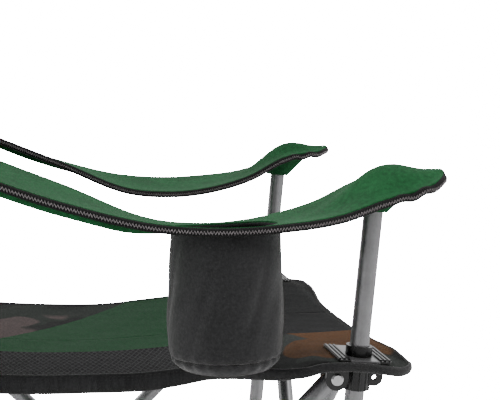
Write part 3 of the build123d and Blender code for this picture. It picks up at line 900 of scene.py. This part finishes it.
def back_point(side, s, t):
    """Backrest: s from the post (0) to the middle line (1), t from the lower edge (0) to the top (1)."""
    low_z, high_z = BACK_LOW[2] + 6 * MM, BACK_HIGH[2] - 3 * MM
    z = low_z + t * (high_z - low_z)
    post_y = PLATE_BACK[1] + (z - PLATE_BACK[2]) * math.tan(LEAN)
    x = side * (POST_X - s * POST_X)
    bow = 18 * MM * (1 - (1 - s) ** 2) * (0.75 + 0.25 * np.sin(math.pi * t))
    dip = -16 * MM * t**6 * (1 - (1 - s) ** 2)
    y = post_y - 7.5 * MM * (1 - ease(s / 0.10)) + bow + ripple(x / 0.05, z / 0.06, 31) * 1.3 * MM
    return together(x, y, z + dip)


def make_backrest(name):
    """One half of the backrest: cloth, the post's sleeve, two bound edges and a seam."""
    side = SIDES[name]
    body = f"backrest_{name}"
    s, t = np.linspace(0.02, 1.0, 60), np.linspace(0, 1, 90)
    grid_t, grid_s = np.meshgrid(t, s, indexing="ij")
    points = back_point(side, grid_s, grid_t)
    uv = np.stack([points[..., 0] + 0.3, points[..., 2] - BACK_LOW[2]], axis=-1)
    cloth = grid_mesh(f"back_cloth_{name}", points, uv)
    thicken(cloth, settings().cloth, 0.0)
    dress(cloth, "green")
    sleeve = back_sleeve(name)
    top = evenly(back_point(side, np.linspace(0.03, 1.0, 60), np.ones(60)), 3 * MM)
    low = evenly(back_point(side, np.linspace(0.05, 1.0, 60), np.zeros(60)), 3 * MM)
    pieces = [sleeve]
    for label, line in (("top", top), ("low", low)):
        tape = carried(f"back_tape_{label}_{name}", line, oval(5.0 * MM, 9.0 * MM, 12), up=(0, 0, 1))
        pieces.append(dress(tape, "tape"))
    seam = evenly(back_point(side, np.full(60, 0.12), np.linspace(0.02, 0.98, 60)), 2 * MM)
    seam = seam - [0, 1.4 * MM, 0]
    tape = carried(f"back_seam_{name}", seam, oval(1.2 * MM, 7.0 * MM, 8), up=(0, 1, 0))
    pieces.append(dress(tape, "tape"))
    for piece in [cloth] + pieces:
        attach(piece, body)
    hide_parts(f"backrest_half_{name}")


def back_sleeve(name):
    """Sleeve of black cloth round the upper part of a back post, closed over its top."""
    side = SIDES[name]
    cap_top = CAP_BACK * [side, 1, 1] + [0, 0, 9 * MM]
    axis = np.array([0, math.sin(LEAN), math.cos(LEAN)])
    fore = np.array([0, math.cos(LEAN), -math.sin(LEAN)])
    t = np.linspace(0, 1, 70)[:, None]
    turn = np.linspace(0, 2 * math.pi, 36, endpoint=False)[None, :]
    radius = (10.2 + 0.5 * np.sin(3 * turn + 9 * t) + 0.4 * np.sin(31 * t)) * MM + 0 * t
    closing = np.sqrt(np.clip(1 - ((t - 0.965) / 0.036) ** 2 * (t > 0.965), 0.0004, 1))
    along = -SLEEVE_LONG * (1 - t)
    points = (cap_top + axis * along[..., None] + (radius * closing)[..., None] * (
        np.cos(turn)[..., None] * np.array([1.0, 0, 0]) + np.sin(turn)[..., None] * fore))
    uv = together(turn * 0.0105, t * SLEEVE_LONG)
    sleeve = grid_mesh(f"back_sleeve_{name}", points, uv, wrap=True)
    close_rings(sleeve, [last_ring(len(t), turn.size)], smooth=True)
    return dress(sleeve, "black")


# ------------------------------------------------------------------ stage
BACKDROP_GLOW = 40.0          # strength at which the camera sees plain white
WORLD_RAMP = (("From Min", -0.5), ("From Max", 0.9), ("To Min", 0.22), ("To Max", 1.15))
LAMPS = (                     # name, place, size in metres, power in watts
    ("key", (-1.0, -2.4, 2.0), 0.9, 34),
    ("top", (-0.4, 0.2, 2.6), 1.2, 10),
    ("rim", (2.0, 1.2, 1.6), 1.6, 14),
    ("side", (-0.9, 2.3, 1.3), 0.9, 26),
)
LAMPS_AIM = np.array([0, 0, 0.45])
CAMERA_TURN = 259.9           # degrees: 270 looks along +X
CAMERA_DOWN = 5.76            # degrees below level
CAMERA_AWAY = 0.900           # from the right front hub
CAMERA_BESIDE = 0.092         # the hub stands this far right of the view's axis
CAMERA_ABOVE = 0.220          # above the hub's plate
CAMERA_LENS = 77.8            # mm


def bright_backdrop(tree, shader, glow):
    """What the camera sees is plain white paper; every other ray meets the given shader."""
    path = tree.nodes.new("ShaderNodeLightPath")
    paper = tree.nodes.new("ShaderNodeEmission")
    paper.inputs["Strength"].default_value = glow
    choice = tree.nodes.new("ShaderNodeMixShader")
    tree.links.new(path.outputs["Is Camera Ray"], choice.inputs[0])
    tree.links.new(shader.outputs[0], choice.inputs[1])
    tree.links.new(paper.outputs[0], choice.inputs[2])
    return choice


def make_floor():
    """Wide floor of plain paper, just under the feet."""
    bpy.ops.mesh.primitive_plane_add(size=120, location=(0, 0, -0.0005))
    floor = bpy.context.object
    floor.name = "floor"
    finish = Finish("floor_paint")
    tone = finish.noise(finish.coords.outputs["Object"], 3.0)
    paper = finish.blend(tone, (0.80, 0.80, 0.80, 1), (0.84, 0.84, 0.84, 1))
    floor.data.materials.append(finish.look(paper, 0.9))
    choice = bright_backdrop(finish.tree, finish.shader, BACKDROP_GLOW)
    out = [node for node in finish.tree.nodes if node.type == "OUTPUT_MATERIAL"][0]
    finish.tree.links.new(choice.outputs[0], out.inputs["Surface"])


def make_world():
    """Studio light: bright from behind the chair and dim from the camera's side."""
    world = bpy.data.worlds.new("studio")
    world.use_nodes = True
    tree = world.node_tree
    sky = tree.nodes["Background"]
    coords = tree.nodes.new("ShaderNodeTexCoord")
    split = tree.nodes.new("ShaderNodeSeparateXYZ")
    tree.links.new(coords.outputs["Generated"], split.inputs[0])
    ramp = tree.nodes.new("ShaderNodeMapRange")
    for socket, value in WORLD_RAMP:
        ramp.inputs[socket].default_value = value
    tree.links.new(split.outputs["X"], ramp.inputs["Value"])
    tree.links.new(ramp.outputs["Result"], sky.inputs["Strength"])
    sky.inputs["Color"].default_value = (1, 1, 1, 1)
    choice = bright_backdrop(tree, sky, BACKDROP_GLOW)
    tree.links.new(choice.outputs[0], tree.nodes["World Output"].inputs["Surface"])
    bpy.context.scene.world = world


def make_stage():
    """White floor and backdrop, soft lights and the camera."""
    make_floor()
    make_world()
    for name, place, size, power in LAMPS:
        data = bpy.data.lights.new(name, "AREA")
        data.size = size
        data.energy = power
        lamp = bpy.data.objects.new(name, data)
        lamp.location = place
        aim = LAMPS_AIM - np.array(place)
        tip = math.atan2(math.hypot(aim[0], aim[1]), -aim[2])
        lamp.rotation_euler = (tip, 0, math.atan2(-aim[0], aim[1]))
        bpy.context.scene.collection.objects.link(lamp)
    make_camera()


def make_camera():
    """Camera placed from the right front hub, so that it keeps its view of it."""
    turn, down = math.radians(CAMERA_TURN), math.radians(CAMERA_DOWN)
    ahead = np.array([-math.sin(turn), math.cos(turn), 0])
    right = np.array([math.cos(turn), math.sin(turn), 0])
    hub = np.array([-POST_X, PLATE_FRONT[1], PLATE_FRONT[2]])
    place = hub - ahead * CAMERA_AWAY - right * CAMERA_BESIDE
    place[2] = hub[2] + CAMERA_ABOVE
    data = bpy.data.cameras.new("camera")
    data.lens = CAMERA_LENS
    data.sensor_width = 36
    camera = bpy.data.objects.new("camera", data)
    camera.location = place
    camera.rotation_euler = (math.pi / 2 - down, 0, turn)
    bpy.context.scene.collection.objects.link(camera)
    bpy.context.scene.camera = camera


# ------------------------------------------------------------------ operators
class CHAIR_OT_frame_finish(Operator):
    """Gives tubes, hubs, plates and rivets their finishes."""

    bl_idname = "chair.frame_finish"
    bl_label = "Finish the frame"

    def execute(self, context):
        finish_frame()
        return {"FINISHED"}


class CHAIR_OT_arm_right(Operator):
    """Armrest with the cup's hole."""

    bl_idname = "chair.arm_right"
    bl_label = "Right armrest"

    def execute(self, context):
        make_armrest("right")
        return {"FINISHED"}


class CHAIR_OT_arm_left(Operator):
    """Plain armrest."""

    bl_idname = "chair.arm_left"
    bl_label = "Left armrest"

    def execute(self, context):
        make_armrest("left")
        return {"FINISHED"}


class CHAIR_OT_cup(Operator):
    """Cloth cup under the right armrest."""

    bl_idname = "chair.cup"
    bl_label = "Cup holder"

    def execute(self, context):
        make_cup()
        return {"FINISHED"}


class CHAIR_OT_seat(Operator):
    """Seat cloth in two halves."""

    bl_idname = "chair.seat"
    bl_label = "Seat"

    def execute(self, context):
        for name in SIDES:
            make_seat(name)
        return {"FINISHED"}


class CHAIR_OT_backrest(Operator):
    """Backrest cloth in two halves."""

    bl_idname = "chair.backrest"
    bl_label = "Backrest"

    def execute(self, context):
        for name in SIDES:
            make_backrest(name)
        return {"FINISHED"}


class CHAIR_OT_stage(Operator):
    """Floor, lights and camera."""

    bl_idname = "chair.stage"
    bl_label = "Stage"

    def execute(self, context):
        make_stage()
        return {"FINISHED"}


OPERATORS = [
    CHAIR_OT_frame_finish, CHAIR_OT_arm_right, CHAIR_OT_arm_left, CHAIR_OT_cup, CHAIR_OT_seat,
    CHAIR_OT_backrest, CHAIR_OT_stage,
]


class CHAIR_PT_panel(Panel):
    """Lists the chair's settings and pieces."""

    bl_label = "Folding camp chair"
    bl_idname = "CHAIR_PT_panel"
    bl_space_type = "VIEW_3D"
    bl_region_type = "UI"
    bl_category = "Chair"

    def draw(self, context):
        for key in ChairSettings.__annotations__:
            self.layout.prop(context.scene.chair, key)
        for made in OPERATORS:
            self.layout.operator(made.bl_idname)


CLASSES = [ChairSettings, *OPERATORS, CHAIR_PT_panel]


def register():
    for made in CLASSES:
        bpy.utils.register_class(made)
    bpy.types.Scene.chair = PointerProperty(type=ChairSettings)


def unregister():
    del bpy.types.Scene.chair
    for made in reversed(CLASSES):
        bpy.utils.unregister_class(made)


def main():
    register()
    bpy.ops.chair.frame_finish()
    bpy.ops.chair.arm_right()
    bpy.ops.chair.arm_left()
    bpy.ops.chair.cup()
    bpy.ops.chair.seat()
    bpy.ops.chair.backrest()
    bpy.ops.chair.stage()


if __name__ == "__main__":
    main()
